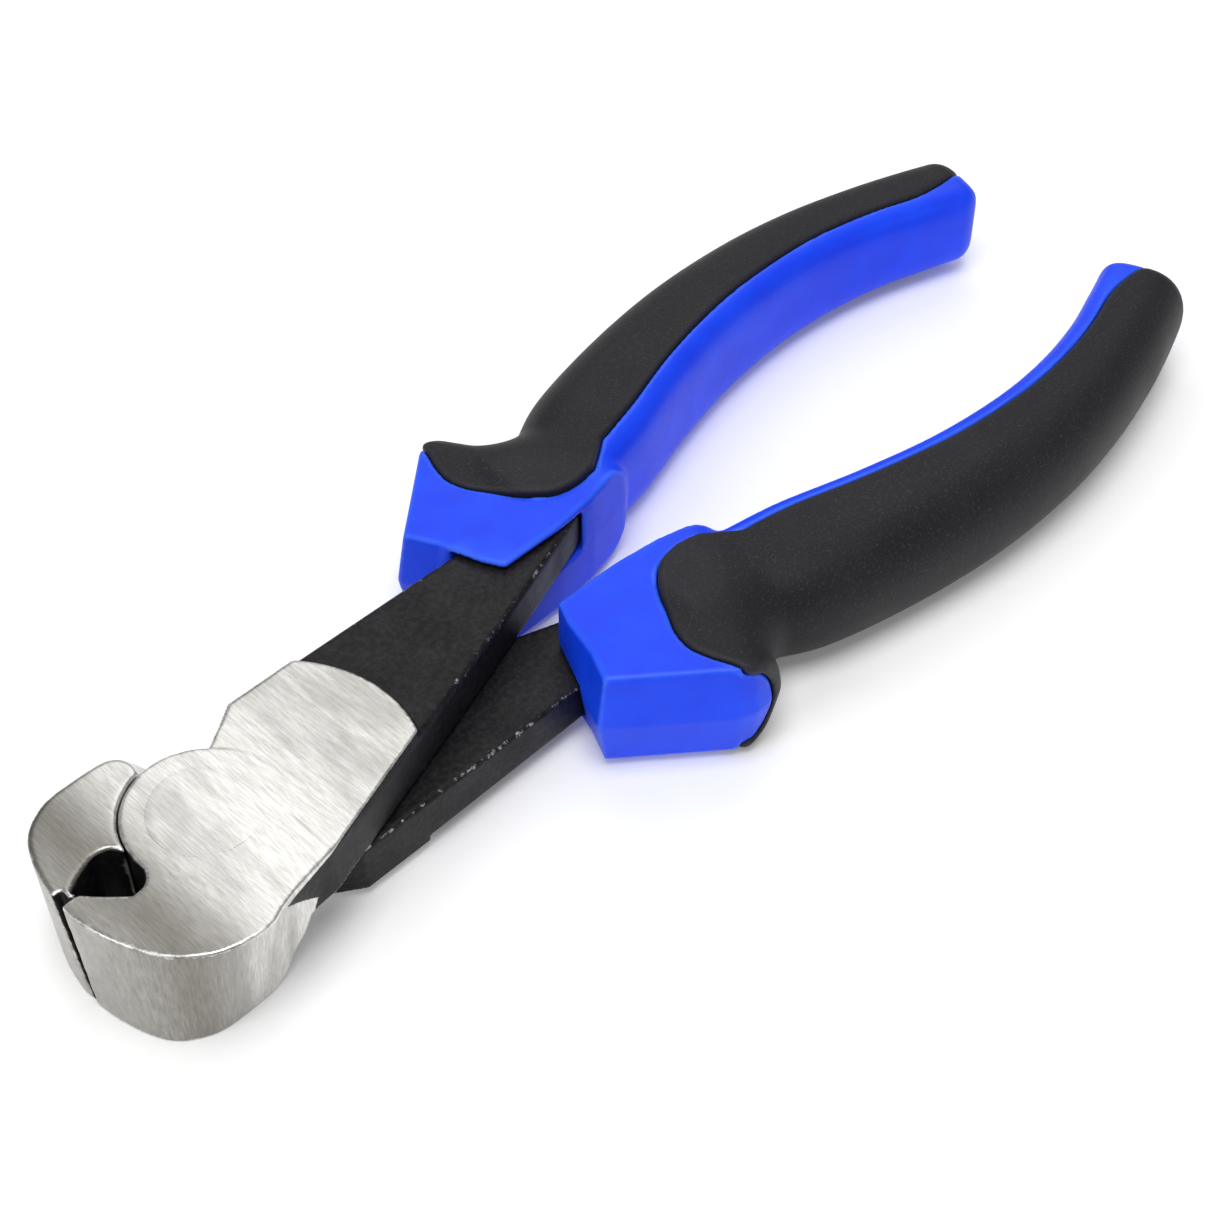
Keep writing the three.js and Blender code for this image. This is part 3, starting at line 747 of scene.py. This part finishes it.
# %% Steel: how it shines, and its relief
satin = add(tree, "MapRange", {"Value": strokes, "From Min": 0.3, "From Max": 0.7,
                               "To Min": 0.27, "To Max": 0.42}).outputs[0]
matt = add(tree, "MapRange", {"Value": cloud, "From Min": 0.3, "From Max": 0.7,
                              "To Min": 0.38, "To Max": 0.56}).outputs[0]
roughness = add(tree, "Mix", {"Factor": metal, "A": matt, "B": satin},
                data_type="FLOAT").outputs["Result"]
metallic = add(tree, "MapRange", {"Value": metal, "To Min": 0.1, "To Max": 1.0}).outputs[0]
shine = add(tree, "MapRange", {"Value": metal, "To Min": 0.22, "To Max": 0.5}).outputs[0]

# belt lines 0.0035 mm deep; forged skin about 0.02 mm rough, with finer grit on it
scored = add(tree, "Math", {0: lines, 1: 0.0035}, operation="MULTIPLY").outputs[0]
skin_a = add(tree, "Math", {0: specks, 1: 0.045}, operation="MULTIPLY").outputs[0]
skin_b = add(tree, "Math", {0: grit, 1: 0.012, 2: skin_a}, operation="MULTIPLY_ADD").outputs[0]
relief = add(tree, "Mix", {"Factor": bright, "A": skin_b, "B": scored},
             data_type="FLOAT").outputs["Result"]
bump = add(tree, "Bump", {"Height": relief, "Strength": 0.8, "Distance": MM}).outputs[0]
surface = add(tree, "BsdfPrincipled", {"Base Color": colour, "Metallic": metallic,
                                       "Roughness": roughness, "Specular IOR Level": shine,
                                       "Normal": bump})
add(tree, "OutputMaterial", {"Surface": surface.outputs[0]})
print("steel:", len(tree.nodes), "nodes")

# %% [markdown]
# ### Blue polypropylene
# The hard core is injection-moulded polypropylene, coloured right through. The mould was spark-eroded,
# which leaves a very fine grain: a broad soft shine, no mirror. Its edges are painted lighter, partly
# as polish from handling and partly as a painted highlight, and the groove beside the rubber is painted
# darker as shade.

# %% Blue plastic
plastic, tree = new_material("Polypropylene_blue_moulded")
place = add(tree, "TexCoord", {}).outputs["Object"]
# spark-erosion grain, 0.22 mm here so that it shows, and slow mottling 6 mm across from the flow
grain = add(tree, "TexNoise", {"Vector": place, "Scale": 1 / 0.00022, "Detail": 2.0}).outputs[0]
flow = add(tree, "TexNoise", {"Vector": place, "Scale": 1 / 0.006, "Detail": 3.0}).outputs[0]
edge = add(tree, "Attribute", {}, attribute_name="edge").outputs["Fac"]
tone = add(tree, "MapRange", {"Value": flow, "From Min": 0.3, "From Max": 0.7}).outputs[0]
blue = add(tree, "Mix", {"Factor": tone, "A": linear("#0A3FF0"), "B": linear("#0A4AFC")},
           data_type="RGBA").outputs["Result"]
# outside edges painted lighter: partly polish from handling, partly a painted highlight
rub = add(tree, "Math", {0: flow, 1: 0.5, 2: edge}, operation="MULTIPLY_ADD").outputs[0]
polish_and_edge_highlight = add(tree, "MapRange", {"Value": rub, "From Min": 0.6, "From Max": 1.5,
                                  "To Max": 0.35}).outputs[0]
blue = add(tree, "Mix", {"Factor": polish_and_edge_highlight, "A": blue, "B": linear("#4F86FF")},
           data_type="RGBA").outputs["Result"]
# painted shade: the blue is darkened in the groove beside the rubber
groove_shade = add(tree, "MapRange", {"Value": edge, "From Min": -0.25, "From Max": -0.9,
                                "To Max": 0.5}).outputs[0]
blue = add(tree, "Mix", {"Factor": groove_shade, "A": blue, "B": linear("#122A8C")},
           data_type="RGBA").outputs["Result"]
gloss = add(tree, "MapRange", {"Value": grain, "From Min": 0.3, "From Max": 0.7,
                               "To Min": 0.36, "To Max": 0.5}).outputs[0]
relief = add(tree, "Math", {0: grain, 1: 0.006}, operation="MULTIPLY").outputs[0]
bump = add(tree, "Bump", {"Height": relief, "Strength": 0.7, "Distance": MM}).outputs[0]
surface = add(tree, "BsdfPrincipled", {"Base Color": blue, "Roughness": gloss, "IOR": 1.49,
                                       "Specular IOR Level": 0.3, "Normal": bump})
add(tree, "OutputMaterial", {"Surface": surface.outputs[0]})
print("plastic:", len(tree.nodes), "nodes")

# %% [markdown]
# ### Soft black rubber
# The cover is a thermoplastic rubber, moulded over the core. Its skin is matt with a leathery grain a
# few tenths of a millimetre across, and it shines a little at a low angle. Fingers leave it smoother
# in patches.

# %% Rubber
rubber, tree = new_material("Thermoplastic_rubber_charcoal_overmoulded")
place = add(tree, "TexCoord", {}).outputs["Object"]
# leathery grain 0.45 mm, finer pores 0.28 mm, handled patches 9 mm across
grain = add(tree, "TexVoronoi", {"Vector": place, "Scale": 1 / 0.00045}).outputs["Distance"]
pores = add(tree, "TexNoise", {"Vector": place, "Scale": 1 / 0.00028, "Detail": 2.0}).outputs[0]
handled = add(tree, "TexNoise", {"Vector": place, "Scale": 1 / 0.009, "Detail": 3.0}).outputs[0]
edge = add(tree, "Attribute", {}, attribute_name="edge").outputs["Fac"]
tone = add(tree, "MapRange", {"Value": handled, "From Min": 0.3, "From Max": 0.7}).outputs[0]
black = add(tree, "Mix", {"Factor": tone, "A": linear("#141317"), "B": linear("#1C1B20")},
            data_type="RGBA").outputs["Result"]
speck = add(tree, "MapRange", {"Value": pores, "From Min": 0.55, "From Max": 0.72,
                               "To Max": 0.6}).outputs[0]
black = add(tree, "Mix", {"Factor": speck, "A": black, "B": linear("#3A383E")},
            data_type="RGBA").outputs["Result"]
# the black is made lighter on outside edges
lighter_edges = add(tree, "MapRange", {"Value": edge, "From Min": 0.35, "From Max": 1.2,
                              "To Max": 0.3}).outputs[0]
black = add(tree, "Mix", {"Factor": lighter_edges, "A": black, "B": linear("#3C3A40")},
            data_type="RGBA").outputs["Result"]
gloss = add(tree, "MapRange", {"Value": handled, "From Min": 0.3, "From Max": 0.7,
                               "To Min": 0.5, "To Max": 0.62}).outputs[0]
coarse = add(tree, "Math", {0: grain, 1: 0.02}, operation="MULTIPLY").outputs[0]
relief = add(tree, "Math", {0: pores, 1: 0.012, 2: coarse}, operation="MULTIPLY_ADD").outputs[0]
bump = add(tree, "Bump", {"Height": relief, "Strength": 0.8, "Distance": MM}).outputs[0]
surface = add(tree, "BsdfPrincipled", {"Base Color": black, "Roughness": gloss, "IOR": 1.5,
                                       "Specular IOR Level": 0.24, "Sheen Weight": 0.03,
                                       "Normal": bump})
add(tree, "OutputMaterial", {"Surface": surface.outputs[0]})
print("rubber:", len(tree.nodes), "nodes")

# %% Give each piece its finish and its body, and hide the CAD node it stands for
for word in ("upper", "lower"):
    for piece, finish, node, slot in (
        (levers[word], steel, f"{word}_lever", "forged_steel"),
        (cores[word], plastic, f"{word}_grip_core", "grip_plastic"),
        (covers[word], rubber, f"{word}_grip_cover", "grip_rubber"),
    ):
        piece.data.materials.append(finish)
        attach(piece, f"{word}_half")
        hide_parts(node)
rivet.data.materials.append(steel)
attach(rivet, "upper_half")
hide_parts("pivot_rivet")

# %% [markdown]
# ## The studio
# The tool lies on white paper under large soft lights. Satin steel has almost no colour of its own:
# it shows what it faces. So one wide light stands behind the tool, where the upper faces mirror it,
# and the white paper does the same for the side walls. A strong light from above gives the grips
# their shape, and two weak ones, from the left and the right, keep the walls from going dark. The
# paper glows a little, because white paper in a bright room is lit by more than these lights.


# %% Floor
floor_half = 3.0  # metres
floor_mesh = bpy.data.meshes.new("paper_floor")
floor_mesh.from_pydata(
    [(-floor_half, -floor_half, 0), (floor_half, -floor_half, 0), (floor_half, floor_half, 0),
     (-floor_half, floor_half, 0)], [], [(0, 1, 2, 3)])
floor = bpy.data.objects.new("paper_floor", floor_mesh)
bpy.context.scene.collection.objects.link(floor)
paper, tree = new_material("Paper_white_matt")
place = add(tree, "TexCoord", {}).outputs["Object"]
# fibres in clumps 2.5 mm across
fibre = add(tree, "TexNoise", {"Vector": place, "Scale": 1 / 0.0025})
shade = add(tree, "Mix", {"Factor": fibre.outputs[0], "A": linear("#FBFBFB"), "B": linear("#FFFFFF")},
            data_type="RGBA").outputs["Result"]
matt = add(tree, "BsdfPrincipled", {"Base Color": shade, "Roughness": 0.9, "IOR": 1.3,
                                    "Emission Color": shade, "Emission Strength": 0.1})
add(tree, "OutputMaterial", {"Surface": matt.outputs[0]})
floor_mesh.materials.append(paper)

# %% Lights
focus = Vector((0.055, 0.0, 0.008))  # the middle of the tool, in metres


def soft_light(name, place, size, watts):
    """A round light of this diameter at a place, both in metres, turned to face the tool."""
    data = bpy.data.lights.new(name, "AREA")
    data.shape = "DISK"
    data.size = size
    data.energy = watts
    lamp = bpy.data.objects.new(name, data)
    lamp.location = place
    lamp.rotation_euler = (focus - Vector(place)).to_track_quat("-Z", "Y").to_euler()
    bpy.context.scene.collection.objects.link(lamp)


soft_light("back_light", (0.55, 0.45, 0.75), 0.9, 2.4)
soft_light("top_light", (-0.1, -0.15, 1.1), 0.7, 7.0)
soft_light("left_light", (-0.8, 0.1, 0.5), 0.5, 2.0)
soft_light("right_light", (0.3, -0.9, 0.35), 0.5, 0.5)

world = bpy.data.worlds.new("studio")
world.use_nodes = True
sky = world.node_tree
sky.nodes.clear()
air = add(sky, "Background", {"Color": (1, 1, 1, 1), "Strength": 0.3})
add(sky, "OutputWorld", {"Surface": air.outputs[0]})
bpy.context.scene.world = world
bpy.context.scene.view_settings.view_transform = "Standard"

# %% Camera
camera_data = bpy.data.cameras.new("camera")
camera_data.lens = 62.3
camera_data.sensor_width = 36
camera_data.clip_start = 0.01
camera = bpy.data.objects.new("camera", camera_data)
# where it stands, in metres, how far it is turned about the upright, raised and tilted
stand = [a * MM for a in (-64.77, -121.80, 179.49)]
turn, rise, roll = (math.radians(a) for a in (-45.02, 45.89, -0.83))
back = Vector((math.sin(turn) * math.cos(rise), -math.cos(turn) * math.cos(rise), math.sin(rise)))
level = Vector((math.cos(turn), math.sin(turn), 0))
right = math.cos(roll) * level + math.sin(roll) * back.cross(level)
up = back.cross(right)
camera.matrix_world = Matrix((
    (right.x, up.x, back.x, stand[0]),
    (right.y, up.y, back.y, stand[1]),
    (right.z, up.z, back.z, stand[2]),
    (0, 0, 0, 1),
))
bpy.context.scene.collection.objects.link(camera)
bpy.context.scene.camera = camera
